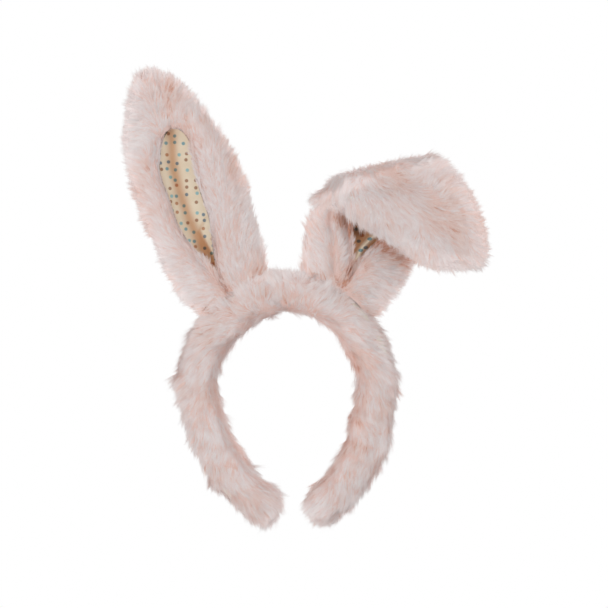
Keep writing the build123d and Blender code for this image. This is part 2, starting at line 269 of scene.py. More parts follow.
FUR = fur_materials()
SKIN = mottled("fur_backing", srgb(221, 189, 178), srgb(225, 201, 195), 0.006, 0.95, 0.5, 0.0012)

DOT_SPACING = 0.0064
DOT_SCATTER = 0.62  # 0 puts the dots in a square grid
STAIN_SIZE = 0.018
WEAVE_SIZE = 0.0011
PRINT_TURN = 0.35  # radians


def printed_cotton():
    """Cream plain-weave cotton with scattered small dots in teal, blue-grey and browns, darkened by painted
    shade from the mesh's crease attribute.
    """
    material, nodes, links, principled = shader("printed_cotton", srgb(226, 214, 190), 0.92, 0.1)
    cloth = node(nodes, "ShaderNodeUVMap", uv_map="cloth")
    tilt = node(nodes, "ShaderNodeMapping")
    tilt.inputs["Rotation"].default_value = (0, 0, PRINT_TURN)
    dots = node(nodes, "ShaderNodeTexVoronoi", Scale=1 / DOT_SPACING, Randomness=DOT_SCATTER)
    dots.voronoi_dimensions = "2D"
    edge = ramp(nodes, [(0.165, (0.85, 0.85, 0.85)), (0.235, (0, 0, 0))])
    inks = ramp(nodes, [
        (0.0, srgb(104, 160, 172)),
        (0.25, srgb(188, 130, 92)),
        (0.45, srgb(98, 128, 146)),
        (0.62, srgb(156, 112, 84)),
        (0.8, srgb(134, 188, 194)),
    ], "CONSTANT")
    pick = node(nodes, "ShaderNodeSeparateColor")
    stain = node(nodes, "ShaderNodeTexNoise", Scale=1 / STAIN_SIZE, Detail=3.0)
    cream = ramp(nodes, [(0.3, srgb(229, 212, 186)), (0.7, srgb(239, 226, 204))])
    paint = node(nodes, "ShaderNodeMix", data_type="RGBA")
    warp = node(nodes, "ShaderNodeTexWave", Scale=1 / WEAVE_SIZE, Distortion=0.4)
    weft = node(nodes, "ShaderNodeTexWave", Scale=1 / WEAVE_SIZE, Distortion=0.4)
    warp.bands_direction, weft.bands_direction = "X", "Y"
    weave = node(nodes, "ShaderNodeMath", operation="MULTIPLY")
    raised = node(nodes, "ShaderNodeBump", Strength=0.35, Distance=0.0004)
    # painted shade: the mesh's crease attribute darkens the print through tan to dark brown in the lining's
    # folds, hollows and recesses
    painted_shade_amount = node(nodes, "ShaderNodeAttribute", attribute_name="crease")
    painted_shade_ramp = ramp(nodes, [(0.0, (1, 1, 1)), (0.5, srgb(214, 172, 144)), (1.0, srgb(148, 110, 88))])
    painted_shade = node(nodes, "ShaderNodeMix", data_type="RGBA", blend_type="MULTIPLY")
    painted_shade.inputs["Factor"].default_value = 1.0
    connect(links, [
        (cloth, "UV", tilt, "Vector"),
        (tilt, "Vector", dots, "Vector"),
        (dots, "Distance", edge, "Fac"),
        (dots, "Color", pick, "Color"),
        (pick, "Red", inks, "Fac"),
        (cloth, "UV", stain, "Vector"),
        (stain, "Fac", cream, "Fac"),
        (edge, "Color", paint, "Factor"),
        (cream, "Color", paint, "A"),
        (inks, "Color", paint, "B"),
        (painted_shade_amount, "Fac", painted_shade_ramp, "Fac"),
        (paint, "Result", painted_shade, "A"),
        (painted_shade_ramp, "Color", painted_shade, "B"),
        (painted_shade, "Result", principled, "Base Color"),
        (cloth, "UV", warp, "Vector"),
        (cloth, "UV", weft, "Vector"),
        (warp, "Fac", weave, 0),
        (weft, "Fac", weave, 1),
        (weave, "Value", raised, "Height"),
        (raised, "Normal", principled, "Normal"),
    ])
    return material


COTTON = printed_cotton()
# the slit's binding is dark olive, dark enough to also paint the thin shadow line along the slit's edge
EDGING = mottled("slit_edging", srgb(74, 66, 44), srgb(110, 98, 70), 0.002, 0.9, 0.4, 0.0005)
WIRE = mottled("coated_wire", srgb(196, 196, 192), srgb(222, 222, 218), 0.003, 0.45, 0.2, 0.0008)
CORE = mottled("core_plastic", srgb(228, 228, 224), srgb(240, 240, 237), 0.012, 0.5, 0.15, 0.0006)
THREAD = mottled("thread", srgb(214, 186, 176), srgb(232, 210, 202), 0.0012, 0.8, 0.6, 0.0003, 0.2)
FOAM = mottled("foam", srgb(226, 222, 206), srgb(240, 237, 226), 0.003, 1.0, 0.8, 0.0007)
WADDING = mottled("wadding", srgb(226, 224, 218), srgb(244, 243, 240), 0.004, 1.0, 0.6, 0.0012)


# ------------------------ fur
class Coat:
    """Rows by columns of cloth with what its fur needs: normal, nap, length, tone, density and lift."""

    def __init__(self, points, nap, closed=False, normals=None):
        if closed:  # repeat the first column so that every cell has four corners
            points = np.concatenate([points, points[:, :1]], 1)
            nap = np.concatenate([nap, nap[:, :1]], 1)
            normals = grid_normals(points[:, :-1], True)
            normals = np.concatenate([normals, normals[:, :1]], 1)
        self.points, self.nap = points, nap
        self.normals = grid_normals(points) if normals is None else normals
        self.length = np.ones(points.shape[:2])
        self.tone = np.zeros(points.shape[:2])
        self.density = np.ones(points.shape[:2])
        self.lift = np.full(points.shape[:2], 0.28)

    def area(self):
        """Each cell's area, weighed by its fur's density."""
        a = self.points[1:, :-1] - self.points[:-1, :-1]
        b = self.points[:-1, 1:] - self.points[:-1, :-1]
        cells = np.linalg.norm(np.cross(a, b), axis=-1)
        return cells * (self.density[:-1, :-1] + self.density[1:, 1:]) / 2

    def roots(self, count):
        """Strand roots drawn evenly over the cloth, with the fields' values there."""
        weight = self.area().ravel()
        cell = rng.choice(len(weight), count, p=weight / weight.sum())
        i, j = np.divmod(cell, self.points.shape[1] - 1)
        a, b = rng.random((2, count))

        def at(field):
            a_, b_ = (a, b) if field.ndim == 2 else (a[:, None], b[:, None])
            low = field[i, j] * (1 - b_) + field[i, j + 1] * b_
            high = field[i + 1, j] * (1 - b_) + field[i + 1, j + 1] * b_
            return low * (1 - a_) + high * a_

        return [at(f) for f in (self.points, self.normals, self.nap, self.length, self.tone, self.lift)]


STEPS = np.array([0.0, 0.5, 1.0])
WIDTHS = np.array([1.0, 0.8]) * 0.00016  # half the strand's width at its root and middle; it ends in a point
STRAND_POINTS = 5
STRAND_CORNERS = np.array([0, 1, 3, 2, 2, 3, 4])  # a quad and a triangle on those points
STRAND_STARTS = np.array([0, 4])
ROOT_DEPTH = 0.0012  # strands start this far under the cloth
BOW = 0.45  # the part of a strand's run that follows the nap
TUFT = 7  # strands that lean together
MIDDLE_TONE = 3
CREASE_SHADE = -2.6  # only strands darker than this get the creases' tone of painted shade


def grow(name, coat, n, seed, bend=None, clump=0.36, spread=0.14):
    """Grow tapered strands on a coat, gathered in small pointed tufts, as one mesh."""
    roots, normals, nap, length, tone, lift = coat.roots(n)
    normals = unit(normals)
    draw = np.random.default_rng(seed)
    nap = nap + waves(roots, 0.030, 105) * 0.22 + waves(roots, 0.010, 106) * 0.16
    nap = unit(nap - normals * np.sum(nap * normals, -1, keepdims=True))
    wander = draw.normal(0, 1, (n, 3))

    # each strand leans on the middle strand of its tuft
    middles = np.arange(n)[::TUFT]
    tree = KDTree(len(middles))
    for number, m in enumerate(middles):
        tree.insert(roots[m], number)
    tree.balance()
    tuft = np.fromiter((tree.find(p)[1] for p in roots), int, n)
    middle = middles[tuft]
    own_lift = draw.normal(0, 0.05, n) + draw.normal(0, 0.06, n)[middle]
    lift = np.clip(lift + own_lift, 0.05, 0.95)[:, None]
    start = unit(normals * lift + nap * (1 - lift) + (0.4 * wander + 0.6 * wander[middle]) * spread)
    along = unit(nap * 0.95 + normals * 0.12 + wander[middle] * spread * 0.6)
    reach = (length * PILE * draw.uniform(0.75, 1.1, n) * draw.uniform(0.85, 1.12, n)[middle])[:, None]
    roots = roots - normals * ROOT_DEPTH

    def curve(t):
        return roots + reach * (start * (t - BOW * t * t) + along * BOW * t * t)

    line = []
    for t in STEPS:
        own = curve(t)
        line.append(own + (own[middle] - own) * clump * t**1.6)
    points = np.zeros((n, STRAND_POINTS, 3))
    twist = draw.normal(0, 0.2, n)[:, None]
    for step in range(2):
        tangent = unit(line[step + 1] - line[step])
        side = unit(np.cross(tangent, normals))
        face = np.cross(side, tangent)
        side = unit(side * np.cos(twist) + face * np.sin(twist))
        points[:, 2 * step] = line[step] - side * WIDTHS[step]
        points[:, 2 * step + 1] = line[step] + side * WIDTHS[step]
    points[:, 4] = line[2]
    corners = (np.arange(n)[:, None] * STRAND_POINTS + STRAND_CORNERS).ravel()
    starts = (np.arange(n)[:, None] * len(STRAND_CORNERS) + STRAND_STARTS).ravel()
    shade = tone + draw.normal(0, 0.45, n) + draw.normal(0, 0.75, n)[middle]
    darkest = np.where(shade < CREASE_SHADE, 0, 1)
    level = np.clip(np.floor(shade + MIDDLE_TONE), darkest, len(FUR_TONES) - 1).astype(int)
    slots = (level[:, None] * 2 + np.array([0, 1])).ravel()
    fan = np.array([-1, 1, -1, 1, 0])[None, :, None] * 0.25
    across = unit(np.cross(nap, normals))[:, None]
    lit = unit(normals[:, None] + fan * across + (nap[:, None] * 0.25 + 0.15 * wander[middle][:, None]))
    if bend is not None:
        points, lit = bend(points, lit)
    # fur at the rims is lit strand by strand, so it stays light seen from either side
    faces = unit(np.cross(points[:, 1] - points[:, 0], points[:, 2] - points[:, 0]))[:, None]
    at_rim = 0.85 * (1 - smooth(np.abs(lit[:, :1, 1:2]), 0.60, 0.88))
    lit = unit(lit * (1 - at_rim) + faces * at_rim)
    mesh = faces_mesh(name, points.reshape(-1, 3), corners, starts, slots)
    mesh.normals_split_custom_set_from_vertices(lit.reshape(-1, 3))
    fur = new_object(name, mesh, FUR)
    fur.visible_shadow = False  # fine light hair lets most of the light through
    return fur


# ------------------------ the band
def band_line(side, rows):
    """Middle line of half the band from top to tip: points, outward and downward directions, and shares."""
    s = np.linspace(0, HALF_BAND, rows)
    on_leg = (s > QUARTER_BAND)[:, None]
    top = np.minimum(s, QUARTER_BAND) / BAND_MID_RADIUS
    low = np.maximum(s - QUARTER_BAND, 0) / LEG_RADIUS
    over_top = np.stack([np.sin(top), 0 * s, np.cos(top)], -1)
    outward = np.where(on_leg, np.stack([np.cos(low), 0 * s, -np.sin(low)], -1), over_top)
    leg_centre = np.array([BAND_MID_RADIUS - LEG_RADIUS, 0, 0])
    middle = np.where(on_leg, leg_centre + outward * LEG_RADIUS, over_top * BAND_MID_RADIUS)
    down = np.stack([outward[:, 2], 0 * s, -outward[:, 0]], -1)
    flip = np.array([side, 1, 1])
    return middle * flip, outward * flip, down * flip, s / s[-1]


def band_coat(side, rows=150, cap_rows=14, cols=56):
    """Half the band's fur backing, from the top to the rounded tip."""
    middle, outward, down, share = band_line(side, rows)
    cap = np.linspace(0, math.pi / 2, cap_rows)[1:]
    end = len(middle) - 1
    middle = np.concatenate([middle, middle[end] + np.sin(cap)[:, None] * down[end] * SKIN_RADIAL * 1.15])
    scale = np.concatenate([np.ones(end + 1), np.maximum(np.cos(cap), 0.02)])
    outward = np.concatenate([outward, np.repeat(outward[end:], len(cap), 0)])
    down = np.concatenate([down, np.repeat(down[end:], len(cap), 0)])
    share = np.concatenate([share, np.ones(len(cap))])
    angle = np.linspace(0, 2 * math.pi, cols, endpoint=False)
    c, s = np.cos(angle), np.sin(angle)
    across = np.sign(c) * np.abs(c) ** SKIN_SQUARE * SKIN_RADIAL
    deep = np.sign(s) * np.abs(s) ** SKIN_SQUARE * SKIN_DEEP
    front_back = np.array([0, 1, 0])
    offset = across[None, :, None] * outward[:, None] + deep[None, :, None] * front_back
    points = middle[:, None] + offset * scale[:, None, None]
    lumps = 1 + 0.05 * waves(points, 0.028, 3, 1) + 0.035 * waves(points, 0.013, 4, 1)
    if side > 0:  # each leg is drawn in a little, in its own places
        draw_in = 0.0010 + 0.0028 * bump(share - 0.33, 0.17) + 0.0004 * smooth(share, 0.6, 1.0)
    else:
        draw_in = 0.0006 + 0.0018 * bump(share - 0.22, 0.12) + 0.0022 * smooth(share, 0.45, 0.80)
    middle = middle - outward * draw_in[:, None]
    points = middle[:, None] + offset * scale[:, None, None] * lumps
    if side < 0:
        points = points[:, ::-1]
        across, deep = across[::-1], deep[::-1]
    radial = unit(across[None, :, None] * outward[:, None] + deep[None, :, None] * front_back)
    # the nap runs down the legs, and on the crown from the inner wall up over front and back
    run = smooth(share, 0.06, 0.45)[:, None, None]
    up_over = outward[:, None] - radial * np.sum(outward[:, None] * radial, -1, keepdims=True)
    nap = down[:, None] * (0.15 + 0.75 * run) + up_over * (0.75 - 0.35 * run) + 0 * points
    tip = smooth(share, 0.93, 1.0)[:, None, None]
    nap = nap * (1 - tip) + (down[:, None] + 0.3 * radial) * tip
    coat = Coat(points, nap, closed=True)
    coat.points_open = points  # without the repeated column
    turn = np.concatenate([angle, angle[:1]])[None] + 0 * share[:, None]
    length_along = share[:, None] * HALF_BAND + 0 * turn
    streaks = np.stack([length_along * 0.3, np.cos(turn) * SKIN_RADIAL, np.sin(turn) * SKIN_DEEP], -1)
    coat.tone = 0.25 + 0.40 * wave(coat.points, 0.034, 8) + 0.45 * wave(streaks, 0.0085, 6)
    outer = np.concatenate([across, across[:1]])[None] / SKIN_RADIAL  # 1 on the outer wall, -1 on the inner
    # painted shade: on the right leg the inner wall is darker, as if turned away from the key light
    if side > 0:
        coat.tone = coat.tone - 1.1 * smooth(-outer, 0.25, 0.95) * smooth(share, 0.10, 0.25)[:, None]
    coat.length = 1.0 - 0.08 * smooth(-outer, 0.2, 1.0) + 0.16 * wave(coat.points, 0.014, 9)
    return coat


# ------------------------ the ears
class Ear:
    """One ear in its own plane: u across, w from foot to tip, z towards the front."""

    def __init__(self, side):
        self.side = side
        self.across = np.array([math.cos(EAR_TILT), 0, -side * math.sin(EAR_TILT)])
        self.up = np.array([side * math.sin(EAR_TILT), 0, math.cos(EAR_TILT)])
        self.foot = np.array([side * EAR_FOOT[0], 0, EAR_FOOT[1]])
        self.fold_along = self.across * math.cos(FOLD_SLANT) + side * self.up * math.sin(FOLD_SLANT)
        self.fold_up = -side * self.across * math.sin(FOLD_SLANT) + self.up * math.cos(FOLD_SLANT)
        self.fold_at = self.foot + self.up * FOLD_HEIGHT + np.array([0, -FOLD_FRONT, 0])

    def place(self, u, w, z):
        """The place in the shared frame of a place on the flat ear."""
        u, w, z = np.broadcast_arrays(u, w, z)
        flat = self.foot + u[..., None] * self.across + w[..., None] * self.up
        return flat + z[..., None] * np.array([0, -1.0, 0])

    def seen_from_front(self, points):
        """How far across and up the ear a place is."""
        return (points - self.foot) @ self.across, (points - self.foot) @ self.up

    def turn(self, vectors, angle):
        """Turn vectors forward about the fold's direction."""
        k = self.fold_along
        c, s = np.cos(angle)[..., None], np.sin(angle)[..., None]
        sideways = np.cross(np.broadcast_to(k, vectors.shape), vectors)
        return vectors * c + sideways * s + k * (vectors @ k)[..., None] * (1 - c)

    def bend(self, points, vectors=None):
        """Roll the flat ear up over its fold, with any vectors that stand on it. The left ear has no fold."""
        if self.side < 0:
            return points if vectors is None else (points, vectors)
        p = points - self.fold_at
        roll = roll_length(p @ self.fold_along)
        past = p @ self.fold_up
        on_roll = np.clip(past, 0, roll)
        angle = FOLD_TURN * on_roll / roll
        bent = self.fold_at + self.turn(p - on_roll[..., None] * self.fold_up, angle)
        return bent if vectors is None else (bent, self.turn(vectors, angle))


TIP_REACH = EAR_UPPER_ARC - EAR_TIP_ARC
TIP_CENTRE = EAR_WIDEST + math.sqrt(TIP_REACH**2 - (EAR_UPPER_ARC - EAR_HALF_WIDTH) ** 2)
TIP_TANGENT = EAR_WIDEST + (TIP_CENTRE - EAR_WIDEST) * EAR_UPPER_ARC / TIP_REACH
EAR_TOP = TIP_CENTRE + EAR_TIP_ARC


def half_width(w, inset):
    """Half the ear's width at a height, along the arcs of its outline, drawn in by the inset."""
    lower, upper, tip = EAR_LOWER_ARC - inset, EAR_UPPER_ARC - inset, EAR_TIP_ARC - inset
    tangent = TIP_CENTRE + (TIP_TANGENT - TIP_CENTRE) * tip / EAR_TIP_ARC
    low = EAR_HALF_WIDTH - EAR_LOWER_ARC + np.sqrt(lower**2 - (w - EAR_WIDEST) ** 2)
    rise = np.clip(w - EAR_WIDEST, 0, upper * 0.999)
    high = EAR_HALF_WIDTH - EAR_UPPER_ARC + np.sqrt(upper**2 - rise**2)
    round_tip = np.sqrt(np.maximum(tip**2 - np.clip(w - TIP_CENTRE, 0, None) ** 2, 0))
    return np.maximum(np.where(w < EAR_WIDEST, low, np.where(w < tangent, high, round_tip)), 0.0002)


def puff_at(w):
    """Half the ear's thickness at a height."""
    return EAR_PUFF * np.clip(half_width(w, EDGE_INSET) / PUFF_FULL, 0, 1) ** 0.7


def slit_middle(w, side):
    """The slit bulges towards the ear's outer side, and leans inwards at its top."""
    bulge = np.sin(math.pi * np.clip(w / 0.112, 0, 1)) ** 0.8
    return side * (0.0052 * bulge - 0.0044 * smooth(w, 0.100, 0.130))


def slit_half(w, side):
    """Half the slit's width: pinched shut at the foot, widest above the middle, round at the top."""
    opens_at = 0.012 if side < 0 else 0.014
    opening = smooth(w, opens_at, 0.062) ** 0.8
    crown = np.sqrt(1 - np.clip((w - SLIT_ROUNDS) / (SLIT_HIGH - SLIT_ROUNDS), 0, 1) ** 3.0)
    least = 0.0004 * smooth(w, SLIT_LOW, 0.01) * smooth(-w, -SLIT_HIGH, -0.11)
    return SLIT_HALF * (1 + 0.13 * smooth(w, 0.075, 0.100)) * opening * crown + least


def foot_height(ear, u):
    """Where a line up the ear leaves the band's cloth."""
    base = ear.foot + np.asarray(u)[..., None] * ear.across
    b = base @ ear.up
    c = np.sum(base * base, -1) - FOOT_RADIUS**2
    return -b + np.sqrt(np.maximum(b * b - c, 0))


def ear_grid(ear, part, rows, half_cols=26):
    """Cloth of one ear, or of its part below or above the fold: rows from foot to tip, and columns from the
    slit's left edge round the left rim, across the back and round the right rim to the slit's right edge."""
    side = ear.side
    t = np.linspace(0, 1, half_cols)
    lip = np.array([-1.0, -0.55])
    # one side of the front as a share from the slit (0) to the rim (1), easing in at the rim
    share = np.sin(t * math.pi / 2)
    columns = [("lip", -1, s) for s in lip] + [("front", -1, s) for s in share]
    columns += [("back", -1, s) for s in share[::-1][1:-1]] + [("back", 1, s) for s in share[1:-1]]
    columns += [("front", 1, s) for s in share[::-1]] + [("lip", 1, s) for s in lip[::-1]]
    kind = np.array([c[0] for c in columns])
    sign = np.array([c[1] for c in columns], float)
    s = np.array([c[2] for c in columns])
    edge = sign * np.maximum(s, 0)  # rough place across, for the rows' ends
    low = foot_height(ear, edge * FOOT_HALF_WIDTH)
    top = np.full(len(s), EAR_TOP - EDGE_INSET - 0.00002)
    if part != "whole":
        w = np.full(len(s), FOLD_HEIGHT)
        for _ in range(12):
            w = FOLD_HEIGHT + side * edge * half_width(w, EDGE_INSET) * math.tan(FOLD_SLANT)
        if part == "lower":
            top = w
        else:
            low = w
    v = np.linspace(0, 1, rows)[:, None]
    if part != "lower":
        v = np.sin(v * math.pi / 2) ** 0.9
    w = low + (top - low) * v
    hw = half_width(w, EDGE_INSET)
    mid, gap = slit_middle(w, side), slit_half(w, side)
    gap = np.minimum(gap, hw * 0.7)
    inner = mid + sign * gap
    puff = puff_at(w) * (0.85 + 0.15 * smooth(w, 0, 0.03))
    u_front = inner + (sign * hw - inner) * s
    u_back = sign * hw * s
    u = np.where(kind == "back", u_back, u_front)
    rim = np.sqrt(np.maximum(1 - np.abs(np.clip(u / hw, -1, 1)) ** RIM_POWER, 0))
    away = np.abs(u - inner)
    dip = 0.55 * bump(away, 0.0065)  # the cloth dips towards the slit
    dip = dip * smooth(w, SLIT_LOW, 0.012) * smooth(-w, -SLIT_HIGH - 0.004, -0.118)
    z = np.where(kind == "back", -rim * puff, rim * puff * (1 - dip))
    if side > 0 and part == "lower":
        groove = bump(crease_distance(u, w), 0.0020) * smooth(w, 0.0, 0.010) * smooth(-w, -0.064, -0.054)
        z = z - np.where(kind == "front", 0.0030 * groove, 0.0)
    lipped = kind == "lip"
    turn_in = -s * smooth(w, SLIT_LOW, 0.010) * smooth(-w, -SLIT_HIGH, -0.122)  # 1 deep inside, 0 at the edge
    u = np.where(lipped, inner + sign * LIP_TURN * turn_in, u)
    z = np.where(lipped, z - LIP_DEPTH * turn_in, z)
    return u, w, z, kind, sign, s


FOLD_LEAN = 0.0095  # the folded ear's outer side is pushed out this far along the fold


def fold_thin(along):
    """How thin the fold pinches the ear, more so towards its outer end."""
    thin = np.clip(0.66 - 6.5 * (along + 0.015), 0.34, 0.74)
    return thin * (1 - 0.38 * smooth(-along, 0.022, 0.040))


def roll_length(along):
    """How much cloth the back of the fold takes up."""
    return (FOLD_FRONT + EAR_PUFF) * fold_thin(along - FOLD_LEAN) * FOLD_TURN


def fold_frame(u, w):
    """A place on the flat ear as distances along the fold and past it."""
    c, t = math.cos(FOLD_SLANT), math.sin(FOLD_SLANT)
    return u * c + (w - FOLD_HEIGHT) * t, (w - FOLD_HEIGHT) * c - u * t


def lower_lean(u, w, along):
    """How far the lower part's cloth is pushed along the fold."""
    _, past = fold_frame(u, w)
    out = FOLD_LEAN * smooth(u, -0.005, 0.025) * smooth(w, -0.020, 0.015)
    out = out * (1 - 0.6 * smooth(past, -0.045, 0.0))
    corner = 0.0045 * smooth(-along, 0.012, 0.036) * smooth(past, -0.018, 0.0)
    return out + corner + 0.0030 * smooth(-along, 0.030, 0.050) * smooth(w, 0.020, 0.045)


def flap_lean(past):
    """How far the flap's cloth is pushed along the fold."""
    return 0.0062 - 0.0022 * smooth(past, 0.0, 0.030) - 0.0088 * smooth(past, 0.035, 0.085)


def flap_rise(along, past):
    """The flap's left part is taken up by the roll, so its lower edge lies higher."""
    taken = 0.0095 * smooth(-along, -0.030, 0.035) * smooth(past, 0.0, 0.020)
    return taken - 0.0045 * smooth(past, 0.030, 0.070)


def painted_flap_shadow(u, w):
    """Painted shadow of the flap: 1 on the lower part along the edge of the flap that hangs over it, fading
    out above and below.
    """
    edge = 0.0500 - 0.283 * (u + 0.0205)
    below = smooth(w - edge, -0.0140, -0.0040)
    above = 1 - smooth(w - edge, 0.0030, 0.0080)
    return below * above * smooth(u, -0.0235, -0.0170)


def flap_dent(along, past):
    """A soft hollow on the flap, running down and outwards from below the fold."""
    across = along - 0.033 - 0.28 * (past - 0.038)
    return bump(across, 0.0085) * bump(past - 0.036, 0.021)


def laid_flat(ear, part, u, w, z, share=0.0):
    """Places a part's cloth with the right ear's fold rolled out; share is a row's place along the roll."""
    if ear.side < 0:
        u = u * (1 - smooth(-u, 0.0, 0.02) * (0.05 + 0.20 * smooth(-w, -0.012, 0.012)))
        u = u * (1 + 0.22 * smooth(w, 0.145, 0.172)) + 0.0020 * smooth(w, 0.12, 0.17)
        w = w - 0.0068 * smooth(w, 0.12, 0.18)
        return ear.place(u, w, z + 0.006 * smooth(w, 0.02, 0.18))
    along, past = fold_frame(u, w)
    if part == "upper":
        z = z + 0.0030 * flap_dent(along, past) * (z < 0)
    else:
        u = u - 0.0022 * smooth(-u, 0.0, 0.030) * smooth(w, 0.020, 0.045)
    pinch = fold_thin(along)
    thin = pinch + (1 - pinch) * smooth(np.abs(past), 0.0, 0.030)
    points = ear.place(u, w, FOLD_FRONT + (z - FOLD_FRONT) * thin)
    lean_low, lean_high = lower_lean(u, w, along), flap_lean(past)
    if part == "lower":
        return points + lean_low[..., None] * ear.fold_along
    if part == "fold":
        lean = lean_low * (1 - smooth(share)) + lean_high * smooth(share)
        points = points + lean[..., None] * ear.fold_along
        roll = roll_length((points - ear.fold_at) @ ear.fold_along) * share
        return points + roll[..., None] * ear.fold_up
    points = points + lean_high[..., None] * ear.fold_along
    roll = roll_length((points - ear.fold_at) @ ear.fold_along)
    return points + (roll - flap_rise(along, past))[..., None] * ear.fold_up


def ear_shape(ear, part, u, w, z):
    """Places a part's cloth, with the right ear folded over."""
    return ear.bend(laid_flat(ear, part, u, w, z))


def ear_tone(points):
    """The ears' wandering tone."""
    return 0.35 + 0.5 * wave(points, 0.034, 31) + 0.4 * wave(points, 0.011, 32)


def crease_distance(u, w):
    """Distance from the folded ear's crease, which runs from the fold's outer end down to the slit's foot."""
    slope = 0.39
    return (u + 0.0030 + slope * w) / math.hypot(1, slope)


def ear_coat(ear, part, rows):
    """The cloth and fur of one ear, or of its part below or above the fold, laid flat."""
    u, w, z, kind, _, _ = ear_grid(ear, part, rows)
    points = laid_flat(ear, part, u, w, z)
    middle = slit_middle(w, ear.side)
    slit_edge = np.abs(u - middle) - slit_half(w, ear.side)
    from_slit = np.where(kind == "back", np.abs(u), np.maximum(slit_edge, 0))
    flat_out = np.sign(u - middle) * smooth(from_slit, 0.001, 0.020)
    outer = flat_out * ear.side > 0
    nap_u = flat_out * np.where(outer, 0.85, 0.5)
    nap_w = np.where(outer, 0.55, 0.85) - 0.5 * smooth(-w, -0.05, -0.015) * outer
    above_slit = smooth(w, SLIT_HIGH - 0.004, SLIT_HIGH + 0.004) * bump(u - middle, 0.009)
    nap_u = nap_u + 0.38 * above_slit * (kind != "back")  # no parting there
    if ear.side > 0 and part == "lower":  # the fur parts along the crease
        gap = crease_distance(u, w)
        nap_u = nap_u + 0.6 * np.sign(gap) * bump(gap, 0.0035) * (kind == "front")
    step = 0.0005
    moved = laid_flat(ear, part, u + nap_u * step, w + nap_w * step, z)
    nap = unit(moved - points)
    coat = Coat(points, nap)
    # the cloth's columns run backwards, so its outward side is found from the middle of the ear
    inside = laid_flat(ear, part, u * 0.9, w, z * 0.2)
    if np.sum(coat.normals * (points - inside)) < 0:
        coat.normals = -coat.normals
    coat.kind = kind
    coat.tone = ear_tone(points)
    near = np.where(kind == "back", 1.0, smooth(slit_edge, 0.0, 0.012))
    on_lip = (kind == "lip")[None, :] & (slit_half(w, ear.side) > 0.0015)
    coat.density = np.where(on_lip, 0.3, 1.0 + 0.9 * (1 - near))
    coat.length = 0.72 + 0.28 * near
    coat.lift = 0.20 + 0.08 * near
    # painted shade: the tone deepens at the ear's foot against the band and in the slit's pinched foot, over
    # the roots' deeper colour; it is also a little deeper near the slit
    foot = np.exp(-np.maximum(w - foot_height(ear, u), 0) / 0.004)
    pinched = bump(u - middle, 0.0022) * smooth(-w, -0.032, -0.022) * (kind != "back")
    coat.tone = coat.tone - 0.35 * (1 - near) - 1.8 * foot - 1.8 * pinched
    if ear.side > 0:
        along, past = fold_frame(u, w)
        on_front = kind != "back"
        if part == "lower":
            # painted shade along the crease, over the deeper roots that its parting shows
            coat.tone = coat.tone - 1.3 * bump(crease_distance(u, w), 0.0016) * on_front
            # painted shadow of the flap on the lower part, in the creases' deep tone
            coat.tone = coat.tone - 3.4 * painted_flap_shadow(*ear.seen_from_front(points)) * on_front
        else:
            # painted shade in and around the soft hollow on the flap's back
            dent_painted_shade = bump(along - 0.028, 0.020) * bump(past - 0.030, 0.022)
            coat.tone = coat.tone - (0.8 * dent_painted_shade + 1.0 * flap_dent(along, past)) * (kind == "back")
    rim = smooth(np.abs(u) / half_width(w, EDGE_INSET), 0.8, 1.0)
    coat.lift = coat.lift + 0.06 * rim
    return coat


def front_of(coat, front):
    """The same coat with fur on its front columns only, or on its back columns only."""
    part = Coat(coat.points, coat.nap, normals=coat.normals)
    part.length, part.tone, part.lift = coat.length, coat.tone, coat.lift
    is_back = coat.kind == "back"
    part.density = coat.density * np.where(is_back == front, 0.0, 1.0)
    return part


def skin_object(name, points, closed=False):
    """The fur's backing. It is thin and light, so the stuffing inside it is what casts shadows."""
    skin = new_object(name, grid_mesh(name, points, closed), [SKIN])
    skin.visible_shadow = False
    return skin


FUR_SHARE = 1.0
BAND_STRANDS = 64000
LEFT_EAR_STRANDS = {"front": 50000, "back": 44000}
RIGHT_EAR_STRANDS = {"front": 26000, "back": 30000}  # on each part, below and above the fold
FOLD_STRANDS = 16000


def band():
    """The sleeve's cloth and fur, in two halves that bend at the legs."""
    for side, name in ((-1, "left"), (1, "right")):
        coat = band_coat(side)
        skin = skin_object(f"band_cloth_{name}", coat.points_open, closed=True)
        fur = grow(f"band_fur_{name}", coat, int(BAND_STRANDS * FUR_SHARE), 11 + side)
        for piece in (skin, fur):
            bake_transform(piece)
        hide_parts(f"{name}_leg_sleeve", *(["sleeve_crown"] if side > 0 else []))


def ear_pieces(ear, part, rows, strands, seeds):
    """The pieces of one ear, or of its part below or above the fold; the part is in their names."""
    side = "left" if ear.side < 0 else "right"
    tail = "" if part == "whole" else f"_{part}"
    cad_parts = ("lower", "upper") if part == "whole" else (part,)
    coat = ear_coat(ear, part, rows)
    skin = skin_object(f"{side}_ear_cloth{tail}", ear.bend(coat.points))
    furry = [skin]
    for face, seed in zip(("front", "back"), seeds):
        count = int(strands[face] * FUR_SHARE)
        on_face = front_of(coat, face == "front")
        furry.append(grow(f"{side}_ear_fur{tail}_{face}", on_face, count, seed, ear.bend))
    lining = lining_object(ear, part, f"{side}_ear_lining_cloth{tail}")
    edging = edging_object(ear, part, f"{side}_ear_slit_binding{tail}")
    wadding = wadding_object(ear, part, f"{side}_ear_stuffing{tail}")
    wire = wire_object(ear, part, f"{side}_ear_bent_wire{tail}")
    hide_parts(*[f"{side}_ear_{face}_panel_{p}" for face in ("front", "back") for p in cad_parts])
    for piece, slot, stands_for in (
        (lining, "printed_cotton", "lining"),
        (edging, "edging", "slit_edging"),
        (wadding, "wadding", "wadding"),
        (wire, "wire", "wire"),
    ):
        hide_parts(*[f"{side}_ear_{stands_for}_{p}" for p in cad_parts])
    return [*furry, lining, edging, wadding, wire]


def left_ear():
    """The upright ear, which bends as one piece over its own length."""
    ear = Ear(-1)
    for piece in ear_pieces(ear, "whole", 140, LEFT_EAR_STRANDS, (41, 43)):
        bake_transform(piece)


